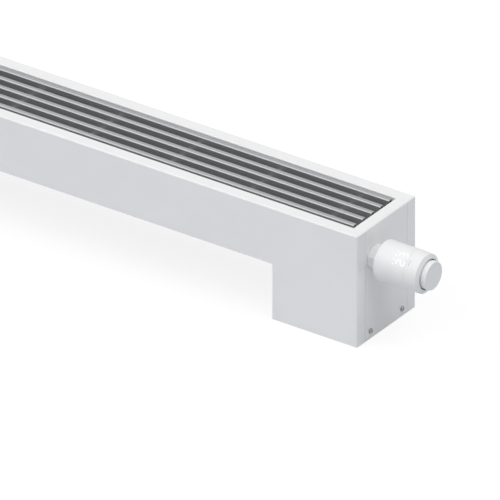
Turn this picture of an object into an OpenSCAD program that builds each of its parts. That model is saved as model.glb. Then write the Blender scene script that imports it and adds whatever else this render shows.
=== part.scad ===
// Floor convector: a long, low casing that stands on two end boxes, with a roll-free linear grille on
// top, a finned copper exchanger under it, and a thermostatic head on the right-hand end.
// Origin: middle of the four floor fixing holes, on the floor. +X is the head's end, -Y the front.

/* [Casing] */
// Length of the casing without the head
casing_l = 1000; // [800:10:2000]
// Width of the casing from front to back
casing_w = 130; // [128:1:180]
// Height of the casing above the floor
casing_h = 160; // [150:1:260]
// Height of the raised shell between the end boxes
body_h = 81; // [76:1:100]
// Length of each end box that reaches the floor
end_box_l = 130; // [128:1:200]
// Width of the rim round the grille
rim_w = 18; // [12:0.5:19]
// Thickness of the casing sheet
sheet_t = 1.5; // [1:0.1:1.7]
// Outer radius of the folds in the casing sheet
fold_r = 1.8; // [1.75:0.05:3]
// Height of the lip that is folded down inside the rim
lip_h = 13; // [6:0.5:14]
// Width of the hem folded under the raised shell
hem_w = 11; // [5:0.5:12]
// Visible seam between an end panel and the returns beside it
seam = 0.35; // [0.1:0.05:1]

/* [Grille] */
// Number of long bars
bar_count = 5; // [3:1:6]
// Width of a bar
bar_w = 7; // [5:0.5:9]
// Height of a bar
bar_h = 15; // [12:0.5:16]
// Chamfer on the top edges of a bar
bar_chamfer = 1; // [0.4:0.1:1.5]
// Wall of the hollow bar
bar_wall = 1.2; // [0.8:0.1:1.6]
// Gap between the outer bars and the lips of the rim
bar_side_gap = 4.4; // [2:0.1:8]
// Gap between the bar ends and the rim
bar_end_gap = 2.8; // [1:0.1:6]
// Diameter of the cross rods
rod_d = 4; // [3:0.1:4.4]
// Height of the rods above the underside of the bars
rod_lift = 3.4; // [3.3:0.1:5]
// Number of cross rods
rod_count = 8; // [4:1:16]
// Wall of the spacers on the rods
spacer_wall = 0.95; // [0.6:0.05:1.1]

/* [Exchanger] */
// Outer diameter of the copper tubes
tube_d = 16; // [14:0.5:16]
// Wall of the copper tubes
tube_wall = 1; // [0.7:0.1:1.5]
// Distance between the two tubes
tube_pitch = 54; // [50:1:60]
// Depth of the tube axes below the top of the casing
axis_drop = 44.5; // [42:0.5:46]
// Width of a fin from front to back
fin_w = 100; // [90:1:110]
// Thickness of a fin
fin_t = 0.5; // [0.3:0.05:0.8]
// Spacing of the fins
fin_pitch = 7.5; // [5:0.1:12]
// Wall of the collars drawn out of the fins
collar_wall = 0.5; // [0.3:0.05:0.8]
// Clearance between the fins and the bars above them
fin_top_gap = 4; // [2:0.5:6]
// Height of the fins' lower edge above the underside of the shell
fin_lift = 11; // [6:0.5:14]
// Thickness of the cross stays
stay_t = 1.5; // [1:0.1:2]
// Width of a stay's top flange, on which the grille rests
stay_flange = 12; // [8:0.5:14]
// Thickness of the rubber pads under the grille
pad_t = 1; // [0.5:0.1:2]

/* [Valves] */
// Distance from the end face to the axis of the pipe ports
port_inset = 47; // [46:0.5:50]
// Depth of the port faces below the tube axes
port_drop = 32; // [30:0.5:33]
// Radius of the female thread in the ports, half inch pipe
port_r = 9.5; // [9:0.1:9.9]
// Length of the female thread
port_l = 12; // [10:0.5:14]
// Outer radius of the valve barrels
barrel_r = 14; // [13.6:0.1:15]
// Travel of the supply valve between open and shut
valve_stroke = 2; // [1:0.1:2.2]
// Radius of the male thread for the head, thirty millimetres across
head_thread_r = 15; // [14.8:0.05:15.1]
// Stand-out of that thread from the end face
thread_out = 9.3; // [9:0.1:9.4]
// Radius of the valve stem
stem_r = 2; // [1.5:0.1:2.2]

/* [Thermostatic head] */
// Distance across the flats of the eight-sided union nut
nut_flats = 32; // [31.7:0.1:36]
// End of the nut, measured from the end face
nut_l = 16.2; // [16.1:0.1:19]
// Diameter of the head
head_d = 54.4; // [54:0.1:60]
// Wall of the head's shells
head_wall = 2; // [1.6:0.1:2.1]
// Length of the rear sleeve
sleeve_l = 45.6; // [45:0.1:56]
// Length of the front ring
front_ring_l = 21.3; // [20.7:0.1:24]
// Diameter to which the front ring narrows
front_d = 52.8; // [51:0.1:54]
// Length of the chamfer round the knob's recess
chamfer_l = 3.2; // [1:0.1:4]
// Radius of the rounded edge at the rear
rear_r = 1; // [0.5:0.1:2]
// Diameter of the knob over its ribs
knob_d = 38.4; // [34:0.1:39.6]
// Number of grip ribs on the knob
knob_ribs = 60; // [24:1:72]
// Length of these ribs
knob_rib_l = 5.7; // [3:0.1:7]
// Stand-out of the knob from the front ring
knob_out = 7.4; // [4:0.1:9]
// Depth of the recess round the knob
recess_d = 7; // [6:0.1:9]
// Gap between the knob and the wall of its recess
knob_gap = 1.5; // [0.8:0.1:1.6]
// Travel of the knob when it is pressed
press_travel = 1.2; // [0.6:0.1:1.2]

/* [Floor fixings] */
// Thickness of the floor brackets
bracket_t = 2; // [1.5:0.1:3]
// Distance between the two fixing holes of one bracket
fixing_pitch = 90; // [88:1:100]
// Diameter of the fixing holes
fixing_d = 7; // [5:0.5:9]
// Height of the screws that hold an end panel
screw_z = 11; // [9:0.5:14]
// Distance between these two screws
screw_pitch = 70; // [60:1:72]
// Diameter of these screws
screw_d = 4; // [3:0.5:5]

/* [Hidden] */
$fn = 64;
over = 1;                 // overrun of every cut
gap = 0.3;                // between bodies that move past each other
fit = 0.05;               // running fit on the radius
slip = 0.2;               // between fixed pieces that only have to go together

xe = casing_l / 2;        // right-hand end face
ye = casing_w / 2;        // front and back faces
under_z = casing_h - body_h;
axis_z = casing_h - axis_drop;
supply_y = -tube_pitch / 2;
return_y = tube_pitch / 2;
box_x = xe - end_box_l;   // inner side of an end box
open_y = ye - rim_w;      // half width of the opening in the rim
open_x = xe - rim_w;
line_r = fold_r - sheet_t / 2;
inner_y = ye - sheet_t;

bar_low_z = casing_h - bar_h;
bar_pitch = (2 * (open_y - bar_side_gap) - bar_w) / (bar_count - 1);
bar_end_x = open_x - bar_end_gap;
rod_end_inset = 46;
rod_r = rod_d / 2;
rod_z = bar_low_z + rod_lift;
spacer_r = rod_r + fit + spacer_wall;

stay_top_z = bar_low_z - gap - pad_t;
stay_hole_r = tube_d / 2 + 1.6 * stay_t;
stay_tab = 9;
stay_inset = 127;         // right-hand stay, from the end face
left_stay_inset = 72;
fin_end_inset = 136;
fin_left_inset = 76;
fin_mid_clear = 3 * stay_t;
fin_low_z = under_z + fin_lift;
fin_top_z = bar_low_z - fin_top_gap;
collar_r = tube_d / 2 + fit;
pad_l = 22;
pad_w = 8;
bend_inset = 60;
socket_l = 8;

tail_end = 120;           // places along the valves, from the end face inwards
tail_socket = 16;
tail_wall = 2;
seal_face = 88;
gasket_t = 1.5;
tail_flange_t = 3;
tail_flange_r = 12.6;
pipe_thread_r = 13.2;
tail_nut_flats = 31;
tail_nut_l = 20;
tail_nut_grip = 10;
inlet_l = 18;
barrel_l = 46;
bore_r = 9;
seat_t = 3;
seat_r = 6.5;
chamber_r = 10.5;
seat_x = 60;
branch_r = 12;
branch_bore_r = 6.5;
branch_hex_flats = 27;
branch_hex_l = 10;
insert_flats = 27;
insert_flange_t = 7;
insert_neck_l = 5;
insert_neck_r = 12;
insert_plug_l = 14;
seal_ring_r = 0.95;
seal_inset = 30;
disc_r = 8.6;
disc_t = 3.4;
carrier_r = 7.5;
carrier_t = 1.5;
stem_tip = 13.4;          // stand-out of the open stem
spring_wire_r = 0.6;
valve_spring_turns = 5;
knob_spring_turns = 2;

lock_barrel_r = 13.6;
lock_barrel_l = 36;
lock_plug_l = 8;
lock_flats = 24;
lock_flange_t = 6;
lock_spigot_r = 8.5;
lock_spigot_l = 8;
lock_stem_r = 3.5;
lock_stem_l = 36;
lock_disc_r = 8;
lock_disc_t = 4;
lock_socket_r = 2.2;
lock_socket_l = 4;
lock_cap_wall = 2.2;
lock_cap_l = 15;
cap_ribs = 20;
cap_rib_r = 0.6;

vent_inset = 111;
vent_r = 5;
vent_l = 11;
bleed_r = 2.5;
bleed_head_flats = 5.5;
bleed_head_l = 4;
bleed_shank_l = 6;

nut_start = gap;
nut_lip_t = 3;
nut_chamber_end = nut_l - nut_lip_t;
collar_lip_t = 3.2;
collar_tube_r = 12.4;
pusher_r = 6.2;
head_r = head_d / 2;
front_r = front_d / 2;
head_start = nut_l + gap;
head_open_r = 13;
base_t = 2.8;
base_start = head_start + head_wall + slip;
base_end = base_start + base_t;
sleeve_end = head_start + sleeve_l - gap / 2;
ring_start = sleeve_end + slip;
ring_end = ring_start + front_ring_l;
spigot_l = 4;
spigot_t = 1.6;
recess_r = knob_d / 2 + knob_gap;
bulkhead_t = 2;
bulkhead_x = ring_end - recess_d;
knob_end = ring_end + knob_out;
knob_start = bulkhead_x + press_travel + gap;
knob_wall = 1.8;
knob_hub_r = 5.4;
knob_edge = 0.25;
knob_rib_r = 0.4;
shaft_r = 3;
shaft_flange_r = 6;
shaft_flange_t = 2.2;
encoder_w = 11.6;
encoder_l = 6;
encoder_drop = 7.6;       // between the switch and the bulkhead in front of it
board_t = 1.6;
board_r = 22.4;
encoder_end = bulkhead_x - bulkhead_t - encoder_drop;
board_x = encoder_end - encoder_l;

cell_r = 7.1;
cell_l = 50.3;
cell_place_r = 15.6;
cell_angles = [-55, -125];
cell_cap_r = 2.7;
cell_cap_l = 1;
contact_t = 0.5;
contact_w = 10;
post_angles = [45, 175, -90];
post_r = 1.6;
post_place_r = 20;
display_angle = 133;
display_place_r = 19.6;
display_w = 20;
display_l = 24;
display_block_t = 2;

gear_module = 0.5;
gear_teeth = 28;
pinion_teeth = 14;
addendum_share = 0.8;
dedendum_share = 1.1;
backlash = 0.12;
pressure_angle = 20;
gear_t = 4;
gear_lift = 6.6;          // between the base plate and the drive gear
gear_start = base_end + gear_lift;
gear_hub_r = 4;
gear_hub_l = 12;
screw_shank_r = 2.5;
frame_t = 1.6;
frame_r = 22.8;
motor_r = 6;
motor_l = 16;
motor_shaft_r = 0.9;
pinion_angle = 75;
gear_centres = gear_module * (gear_teeth + pinion_teeth) / 2;

bracket_up_h = 24;
bracket_up_w = 81;
bracket_flange = 12;
pipe_open_inset = 12;     // opening for the pipes, from the end face and from the box side
pipe_open_side = 32;
pipe_open_w = 76;
fixing_x = xe - end_box_l / 2;
strip_w = 12;
screw_head_r = 3.5;
screw_head_t = 2.4;
screw_l = 6;
screw_slot_r = 1.1;
screw_socket_t = 1.3;

paint = "#ececec";
brass = "#c8a656";
nickel = "#c9c6bd";
copper = "#b5714a";
steel = "#9da1a6";
aluminium = "#b9bbbd";
rubber = "#2a2a2b";
plastic = "#f1f1f0";

// Solid between two corners
module block(low, high) {
    translate(low) cube(high - low);
}

// Outline in Y and Z, carried along X
module along_x(x0, x1) {
    translate([x0, 0, 0]) rotate([90, 0, 90]) linear_extrude(height = x1 - x0) children();
}

// Outline in X and Z, carried along Y
module along_y(y0, y1) {
    translate([0, y1, 0]) rotate([90, 0, 0]) linear_extrude(height = y1 - y0) children();
}

// Places its children on an axis along X that starts at the end face, at a height and depth
module on_axis(y) {
    translate([xe, y, axis_z]) rotate([0, 90, 0]) children();
}

// Round bar along the local axis
module bar(from, to, r) {
    translate([0, 0, from]) cylinder(h = to - from, r = r);
}

// Bar with flats along the local axis, one flat square to the top
module flats(from, to, across, sides) {
    translate([0, 0, from]) rotate(180 / sides)
        cylinder(h = to - from, r = across / 2 / cos(180 / sides), $fn = sides);
}

// Nut: flats whose corners run out in a cone at both ends
module nut(from, to, across, sides) {
    corner_r = across / 2 / cos(180 / sides) + slip;
    ease = corner_r - across / 2;
    intersection() {
        flats(from, to, across, sides);
        rotate_extrude() polygon([[0, from], [corner_r - ease, from], [corner_r, from + ease / 2],
                                  [corner_r, to - ease / 2], [corner_r - ease, to], [0, to]]);
    }
}

// Rectangle with chosen corners rounded: low left, low right, high right, high left
module soft_square(low, high, r, corners) {
    size = high - low;
    middle = (low + high) / 2;
    difference() {
        translate(low) square(size);
        for (i = [0 : 3]) if (corners[i]) {
            sx = i == 1 || i == 2 ? 1 : -1;
            sy = i > 1 ? 1 : -1;
            translate([middle[0] + sx * (size[0] / 2 - r), middle[1] + sy * (size[1] / 2 - r)])
                scale([sx, sy]) difference() {
                    square(r + over);
                    circle(r);
                }
        }
    }
}

// Section of a folded sheet whose centre line turns at right angles with round folds
module folded_section(path, t, r) {
    last = len(path) - 1;
    for (i = [0 : last - 1]) {
        way = (path[i + 1] - path[i]) / norm(path[i + 1] - path[i]);
        start = path[i] + way * (i > 0 ? r : 0);
        end = path[i + 1] - way * (i < last - 1 ? r : 0);
        side = [abs(way[1]), abs(way[0])] * t;
        corner = [min(start[0], end[0]), min(start[1], end[1])];
        translate(corner - side / 2) square([abs(end[0] - start[0]), abs(end[1] - start[1])] + side);
    }
    if (last > 1) for (i = [1 : last - 1]) {
        inward = (path[i - 1] - path[i]) / norm(path[i - 1] - path[i])
            + (path[i + 1] - path[i]) / norm(path[i + 1] - path[i]);
        translate(path[i] + inward * r) intersection() {
            difference() {
                circle(r + t / 2);
                circle(r - t / 2);
            }
            translate([inward[0] > 0 ? -r - t : 0, inward[1] > 0 ? -r - t : 0]) square(r + t);
        }
    }
}

// Whole casing as a solid with its rounded outer edges
module casing_block() {
    intersection() {
        along_x(-xe, xe)
            soft_square([-ye, -over], [ye, casing_h], fold_r, [false, false, true, true]);
        linear_extrude(height = casing_h)
            soft_square([-xe, -ye], [xe, ye], fold_r, [true, true, true, true]);
        along_y(-ye, ye)
            soft_square([-xe, -over], [xe, casing_h], fold_r, [false, false, true, true]);
    }
}

// Front panel: wall with a stepped lower edge, rim, lip, hem and the returns round both ends
module long_panel() {
    half_t = sheet_t / 2;
    wall_y = -ye + half_t;
    lip_y = -open_y - half_t;
    top_z = casing_h - half_t;
    intersection() {
        casing_block();
        union() {
            difference() {
                along_x(-xe, xe) folded_section(
                    [[wall_y, 0], [wall_y, top_z], [lip_y, top_z], [lip_y, casing_h - lip_h]],
                    sheet_t, line_r);
                block([-box_x, -ye - over, -over], [box_x, -ye + fold_r + over, under_z + fold_r]);
                for (side = [-1, 1]) {
                    low_x = side > 0 ? open_x : -xe - over;
                    block([low_x, -open_y - sheet_t - over, casing_h - lip_h - over],
                          [low_x + rim_w + over, -open_y + over, casing_h - sheet_t]);
                }
            }
            along_x(-box_x, box_x) folded_section(
                [[wall_y, under_z + fold_r + over], [wall_y, under_z + half_t],
                 [-ye + hem_w, under_z + half_t]], sheet_t, line_r);
            for (side = [-1, 1]) {
                low_x = side > 0 ? xe - sheet_t : -xe;
                corner_x = side > 0 ? open_x + fold_r : -xe;
                block([low_x, -ye, 0], [low_x + sheet_t, -open_y, casing_h]);
                block([corner_x, -open_y - 2 * sheet_t, casing_h - sheet_t],
                      [corner_x + rim_w - fold_r, -open_y, casing_h]);
            }
        }
    }
}

// End panel at the right: wall, rim and lip in one folded sheet, with strips behind its side seams
module end_panel() {
    half_t = sheet_t / 2;
    wall_x = xe - half_t;
    lip_x = open_x + half_t;
    top_z = casing_h - half_t;
    difference() {
        union() {
            intersection() {
                along_y(-open_y, open_y) folded_section(
                    [[wall_x, 0], [wall_x, top_z], [lip_x, top_z], [lip_x, casing_h - lip_h]],
                    sheet_t, line_r);
                union() {
                    block([open_x - over, -open_y, casing_h - fold_r], [xe + over, open_y, casing_h]);
                    block([open_x - over, -open_y + seam, 0],
                          [xe + over, open_y - seam, casing_h - fold_r]);
                }
            }
            for (side = [-1, 1]) {
                mid_y = side * open_y;
                block([xe - 2 * sheet_t, mid_y - strip_w / 2, bracket_up_h + slip],
                      [xe - sheet_t, mid_y + strip_w / 2, casing_h - lip_h]);
            }
        }
        for (side = [-1, 1])
            translate([xe - sheet_t - over, side * screw_pitch / 2, screw_z]) rotate([0, 90, 0])
                cylinder(h = sheet_t + 2 * over, r = screw_d / 2 + slip);
    }
}

module casing_front_panel() {
    color(paint) long_panel();
}

module casing_back_panel() {
    color(paint) mirror([0, 1, 0]) long_panel();
}

module end_panel_right() {
    color(paint) difference() {
        end_panel();
        on_axis(supply_y) bar(-2 * sheet_t - over, over, head_thread_r + slip + gap);
    }
}

module end_panel_left() {
    color(paint) mirror([1, 0, 0]) end_panel();
}

// Floor bracket: inner side of the end box, floor plate and an upstand behind the end panel
module floor_bracket() {
    half_t = bracket_t / 2;
    up_x = xe - sheet_t - half_t;
    line = bracket_t;
    depth = inner_y - slip;
    difference() {
        along_y(-depth, depth) folded_section(
            [[box_x + half_t + bracket_flange, under_z - half_t - slip],
             [box_x + half_t, under_z - half_t - slip], [box_x + half_t, half_t],
             [up_x, half_t], [up_x, bracket_up_h]], bracket_t, line);
        for (side = [-1, 1]) {
            low_y = side > 0 ? bracket_up_w / 2 : -depth - over;
            block([up_x - 2 * line, low_y, -over],
                  [xe, low_y + depth + over - bracket_up_w / 2, bracket_up_h + over]);
            translate([fixing_x, side * fixing_pitch / 2, -over])
                cylinder(h = bracket_t + 2 * over, r = fixing_d / 2);
            translate([up_x - bracket_t, side * screw_pitch / 2, screw_z]) rotate([0, 90, 0])
                cylinder(h = 2 * bracket_t, r = screw_d / 2 + fit);
        }
        block([box_x + pipe_open_side, -pipe_open_w / 2, -over],
              [xe - pipe_open_inset, pipe_open_w / 2, bracket_t + over]);
    }
}

module floor_bracket_right() {
    color(paint) floor_bracket();
}

module floor_bracket_left() {
    color(paint) mirror([1, 0, 0]) floor_bracket();
}

// Pan-head screw with a hexagon socket, along the local axis with the head's seat at zero
module pan_screw() {
    difference() {
        union() {
            bar(-screw_l, over / 2, screw_d / 2);
            rotate_extrude() intersection() {
                soft_square([-screw_head_r, 0], [screw_head_r, screw_head_t],
                            screw_head_t * 2 / 3, [false, false, true, true]);
                square([screw_head_r, screw_head_t]);
            }
        }
        flats(screw_head_t - screw_socket_t, screw_head_t + over, 2 * screw_slot_r, 6);
    }
}

module end_panel_screws() {
    color(steel) for (end = [0, 1], side = [-1, 1]) mirror([end, 0, 0])
        translate([xe, side * screw_pitch / 2, screw_z]) rotate([0, 90, 0]) pan_screw();
}

// One hollow bar with chamfered top edges
module grille_bar() {
    half_w = bar_w / 2;
    difference() {
        along_x(-bar_end_x, bar_end_x) difference() {
            polygon([[-half_w, bar_low_z], [half_w, bar_low_z], [half_w, casing_h - bar_chamfer],
                     [half_w - bar_chamfer, casing_h], [-half_w + bar_chamfer, casing_h],
                     [-half_w, casing_h - bar_chamfer]]);
            translate([-half_w + bar_wall, bar_low_z + bar_wall])
                square([bar_w - 2 * bar_wall, bar_h - 2 * bar_wall - bar_chamfer / 2]);
        }
        for (x = rod_places) translate([x, half_w + over, rod_z]) rotate([90, 0, 0])
            cylinder(h = bar_w + 2 * over, r = rod_r + fit);
    }
}

rod_span = 2 * (bar_end_x - rod_end_inset);
rod_places = [for (i = [0 : rod_count - 1]) -rod_span / 2 + i * rod_span / (rod_count - 1)];
bar_places = [for (i = [0 : bar_count - 1]) (i - (bar_count - 1) / 2) * bar_pitch];
rod_half_l = bar_places[bar_count - 1] + bar_w / 2 - slip;

module grille_bars() {
    color(aluminium) for (y = bar_places) translate([0, y, 0]) grille_bar();
}

module grille_cross_rods() {
    color(steel) for (x = rod_places) translate([x, rod_half_l, rod_z]) rotate([90, 0, 0])
        cylinder(h = 2 * rod_half_l, r = rod_r);
}

module grille_spacers() {
    color(aluminium) for (x = rod_places, i = [0 : bar_count - 2])
        translate([x, bar_places[i] + bar_w / 2, rod_z]) rotate([-90, 0, 0]) difference() {
            cylinder(h = bar_pitch - bar_w, r = spacer_r);
            translate([0, 0, -over]) cylinder(h = bar_pitch - bar_w + 2 * over, r = rod_r + fit);
        }
}

stay_places = [-xe + left_stay_inset, 0, xe - stay_inset];

module grille_pads() {
    color(rubber) for (x = stay_places, side = [-1, 1])
        translate([x + stay_flange / 2 - pad_w / 2, side * tube_pitch / 2 - pad_l / 2, stay_top_z])
            cube([pad_w, pad_l, pad_t]);
}

// Cross stay: folded plate that carries both tubes and the grille
module cross_stay() {
    half_t = stay_t / 2;
    low_z = fin_low_z;
    difference() {
        union() {
            along_y(-inner_y, inner_y) folded_section(
                [[half_t, low_z], [half_t, stay_top_z - half_t], [stay_flange, stay_top_z - half_t]],
                stay_t, stay_t);
            for (side = [-1, 1]) {
                low_y = side > 0 ? inner_y - stay_t : -inner_y;
                block([half_t, low_y, low_z], [stay_tab, low_y + stay_t, stay_top_z - 2 * stay_flange]);
            }
        }
        for (y = [supply_y, return_y]) translate([-over, y, axis_z]) rotate([0, 90, 0])
            cylinder(h = stay_t + 2 * over, r = stay_hole_r);
    }
}

module cross_stays() {
    color(steel) for (x = stay_places) translate([x, 0, 0]) cross_stay();
}

// Rubber ring with a groove that snaps into a stay's hole
module tube_grommets() {
    lip = stay_t * 4 / 5;
    color(rubber) for (x = stay_places, y = [supply_y, return_y])
        translate([x + stay_t / 2, y, axis_z]) rotate([0, 90, 0]) rotate_extrude() {
            translate([tube_d / 2 + fit, -stay_t / 2 - lip])
                square([stay_hole_r - tube_d / 2 - 2 * fit, stay_t + 2 * lip]);
            for (side = [-1, 1])
                translate([stay_hole_r - 2 * fit, side > 0 ? stay_t / 2 + fit : -stay_t / 2 - lip])
                    square([lip + fit, lip - fit]);
        }
}

fin_low_x = -xe + fin_left_inset;
fin_high_x = xe - fin_end_inset;
fin_places = [for (i = [0 : floor((fin_high_x - fin_low_x) / fin_pitch)])
    let (x = fin_low_x + i * fin_pitch)
    if (x < -fin_pitch - stay_t || x > fin_mid_clear) x];

// One fin with the collars that space it from the next
module fin() {
    collar_l = fin_pitch - slip;
    difference() {
        union() {
            along_x(0, fin_t) translate([-fin_w / 2, fin_low_z])
                square([fin_w, fin_top_z - fin_low_z]);
            for (y = [supply_y, return_y]) translate([0, y, axis_z]) rotate([0, 90, 0])
                cylinder(h = collar_l, r = collar_r + collar_wall);
        }
        for (y = [supply_y, return_y]) translate([-over, y, axis_z]) rotate([0, 90, 0])
            cylinder(h = collar_l + 2 * over, r = collar_r);
    }
}

module fin_pack() {
    color(aluminium) for (x = fin_places) translate([x, 0, 0]) fin();
}

module copper_tube(y) {
    color(copper) translate([-xe + bend_inset, y, axis_z]) rotate([0, 90, 0]) difference() {
        length = casing_l - bend_inset - tail_end + tail_socket - slip;
        cylinder(h = length, r = tube_d / 2);
        translate([0, 0, -over]) cylinder(h = length + 2 * over, r = tube_d / 2 - tube_wall);
    }
}

module copper_tube_supply() {
    copper_tube(supply_y);
}

module copper_tube_return() {
    copper_tube(return_y);
}

// Return bend with a solder socket over each tube
module return_bend() {
    color(copper) translate([-xe + bend_inset - tube_wall - slip, 0, axis_z]) {
        rotate([0, 0, 90]) rotate_extrude(angle = 180) translate([tube_pitch / 2, 0]) difference() {
            circle(tube_d / 2);
            circle(tube_d / 2 - tube_wall);
        }
        for (y = [supply_y, return_y]) translate([0, y, 0]) rotate([0, 90, 0]) difference() {
            bar(0, socket_l, tube_d / 2 + fit + tube_wall);
            bar(tube_wall, socket_l + over, tube_d / 2 + fit);
            bar(-over, 2 * tube_wall, tube_d / 2 - tube_wall);
        }
    }
}

// Tail piece: solder socket for the tube and a flange for the union nut
module tail() {
    flange_x = -seal_face - gasket_t;
    difference() {
        union() {
            bar(-tail_end, flange_x, tube_d / 2 + fit + tail_wall);
            bar(flange_x - tail_flange_t, flange_x, tail_flange_r);
        }
        bar(-tail_end - over, -tail_end + tail_socket, tube_d / 2 + fit);
        bar(-tail_end - over, flange_x + over, tube_d / 2 - tube_wall);
    }
}

module tail_nut() {
    step_x = -seal_face - gasket_t - tail_flange_t - slip;
    color(brass) difference() {
        nut(-seal_face - tail_nut_l + tail_nut_grip, -seal_face + tail_nut_grip, tail_nut_flats, 6);
        bar(-seal_face - tail_nut_l, -seal_face + tail_nut_grip + over,
            tube_d / 2 + tail_wall + fit + slip);
        bar(step_x, -seal_face + tail_nut_grip + over, pipe_thread_r + fit);
    }
}

module supply_tail() {
    color(brass) on_axis(supply_y) tail();
}

module supply_tail_nut() {
    on_axis(supply_y) tail_nut();
}

module return_tail() {
    color(brass) difference() {
        union() {
            on_axis(return_y) tail();
            translate([xe - vent_inset, return_y, axis_z]) difference() {
                cylinder(h = tube_d / 2 + 2 * tail_wall, r = vent_r + tail_wall / 2);
                rotate([0, 90, 0]) cylinder(h = 4 * vent_r, r = tube_d / 2 + fit, center = true);
            }
        }
        translate([xe - vent_inset, return_y, axis_z + tube_d / 2 + tail_wall + fit])
            cylinder(h = 2 * tail_wall, r = vent_r + fit);
    }
}

module return_tail_nut() {
    on_axis(return_y) tail_nut();
}

module tail_gaskets() {
    color("#6f4a3a") for (y = [supply_y, return_y]) on_axis(y) difference() {
        bar(-seal_face - gasket_t, -seal_face, tail_flange_r);
        bar(-seal_face - gasket_t - over, -seal_face + over, tube_d / 2 - tube_wall);
    }
}

// Valve body: threaded inlet, barrel with a seat in it, and a branch down to the pipe port
module valve_body(r, length) {
    mouth = -seal_face + inlet_l + length;
    difference() {
        union() {
            bar(-seal_face, -seal_face + inlet_l + over, pipe_thread_r);
            bar(-seal_face + inlet_l, mouth, r);
            translate([0, 0, -port_inset]) rotate([0, 90, 0]) {
                bar(0, port_drop, branch_r);
                flats(port_drop - branch_hex_l, port_drop, branch_hex_flats, 6);
            }
        }
        bar(-seal_face - over, -seat_x - seat_t, bore_r);
        bar(-seat_x - seat_t - over, -seat_x + over, seat_r);
        bar(-seat_x, mouth + over, chamber_r);
        translate([0, 0, -port_inset]) rotate([0, 90, 0]) {
            bar(0, port_drop, branch_bore_r);
            bar(port_drop - port_l, port_drop + over, port_r);
        }
    }
}

module supply_valve_body() {
    color(nickel) on_axis(supply_y) valve_body(barrel_r, barrel_l);
}

module return_valve_body() {
    color(nickel) on_axis(return_y) valve_body(lock_barrel_r, lock_barrel_l);
}

insert_x = -seal_face + inlet_l + barrel_l;

// Insert with the head's thread, the guide of the stem and a groove for its seal
module valve_insert() {
    color(nickel) on_axis(supply_y) difference() {
        union() {
            bar(insert_x - insert_plug_l, insert_x, chamber_r - fit);
            nut(insert_x, insert_x + insert_flange_t, insert_flats, 6);
            bar(insert_x + insert_flange_t, insert_x + insert_flange_t + insert_neck_l, insert_neck_r);
            bar(insert_x + insert_flange_t + insert_neck_l, thread_out, head_thread_r);
        }
        bar(insert_x - insert_plug_l - over, thread_out + over, stem_r + fit);
        bar(-seal_inset - seal_ring_r - fit, -seal_inset + seal_ring_r + fit,
            stem_r + 2 * seal_ring_r + 2 * fit);
    }
}

disc_x = -seat_x + valve_stroke + gap;

module valve_stem() {
    color(steel) on_axis(supply_y) {
        bar(disc_x - carrier_t + over / 2, stem_tip, stem_r);
        bar(disc_x - carrier_t, disc_x - fit, stem_r + fit + carrier_t);
        bar(disc_x + disc_t + fit, disc_x + disc_t + carrier_t, carrier_r);
    }
}

module valve_disc() {
    color(rubber) on_axis(supply_y) difference() {
        bar(disc_x, disc_x + disc_t, disc_r);
        bar(disc_x - over, disc_x + disc_t + over, stem_r + fit);
    }
}

// Round wire wound on the local axis, with its ends as flat as its pitch
module coil(from, to, r, wire, turns) {
    steps = 14;
    sides = 6;
    count = turns * steps;
    rise = to - from - 2 * wire;
    points = [for (i = [0 : count], j = [0 : sides - 1])
        let (turn = 360 * i / steps, out = r + wire * cos(360 * j / sides))
        [out * cos(turn), out * sin(turn), from + wire + rise * i / count + wire * sin(360 * j / sides)]];
    walls = [for (i = [0 : count - 1], j = [0 : sides - 1])
        let (k = (j + 1) % sides) [i * sides + j, i * sides + k, (i + 1) * sides + k, (i + 1) * sides + j]];
    tris = [for (w = walls, t = [[w[0], w[2], w[1]], [w[0], w[3], w[2]]]) t];
    near = [for (j = [1 : sides - 2]) [0, j, j + 1]];
    far = [for (j = [1 : sides - 2]) [count * sides, count * sides + j + 1, count * sides + j]];
    polyhedron(points, concat(tris, near, far), convexity = turns);
}

module valve_spring() {
    color(steel) on_axis(supply_y)
        coil(disc_x + disc_t + carrier_t + slip, insert_x - insert_plug_l - slip,
             stem_r + 3 * spring_wire_r, spring_wire_r, valve_spring_turns);
}

module stem_seal() {
    color(rubber) on_axis(supply_y) translate([0, 0, -seal_inset]) rotate_extrude()
        translate([stem_r + seal_ring_r + fit, 0]) circle(seal_ring_r);
}

lock_x = -seal_face + inlet_l + lock_barrel_l;

module lockshield_bonnet() {
    color(nickel) on_axis(return_y) difference() {
        union() {
            bar(lock_x - lock_plug_l, lock_x, chamber_r - fit);
            nut(lock_x, lock_x + lock_flange_t, lock_flats, 6);
            bar(lock_x + lock_flange_t, lock_x + lock_flange_t + lock_spigot_l, lock_spigot_r);
        }
        bar(lock_x - lock_plug_l - over, lock_x + lock_flange_t + lock_spigot_l + over,
            lock_stem_r + fit);
    }
}

module lockshield_spindle() {
    low = -seat_x + gap + valve_stroke;
    color(brass) on_axis(return_y) difference() {
        union() {
            bar(low, low + lock_disc_t, lock_disc_r);
            bar(low + lock_disc_t, low + lock_stem_l, lock_stem_r);
        }
        flats(low + lock_stem_l - lock_socket_l, low + lock_stem_l + over, 2 * lock_socket_r, 6);
    }
}

// Ribbed cap over the lockshield's spindle
module lockshield_cap() {
    low = lock_x + lock_flange_t + slip;
    high = low + lock_cap_l;
    inner_r = lock_spigot_r + fit;
    color(plastic) on_axis(return_y) difference() {
        union() {
            bar(low, high, inner_r + lock_cap_wall);
            for (i = [0 : cap_ribs - 1]) rotate(360 * i / cap_ribs)
                translate([inner_r + lock_cap_wall, 0, 0]) bar(low, high - lock_cap_wall, cap_rib_r);
        }
        bar(low - over, high - lock_cap_wall, inner_r);
    }
}

vent_low_z = axis_z + tube_d / 2 + tail_wall + 2 * fit;

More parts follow.
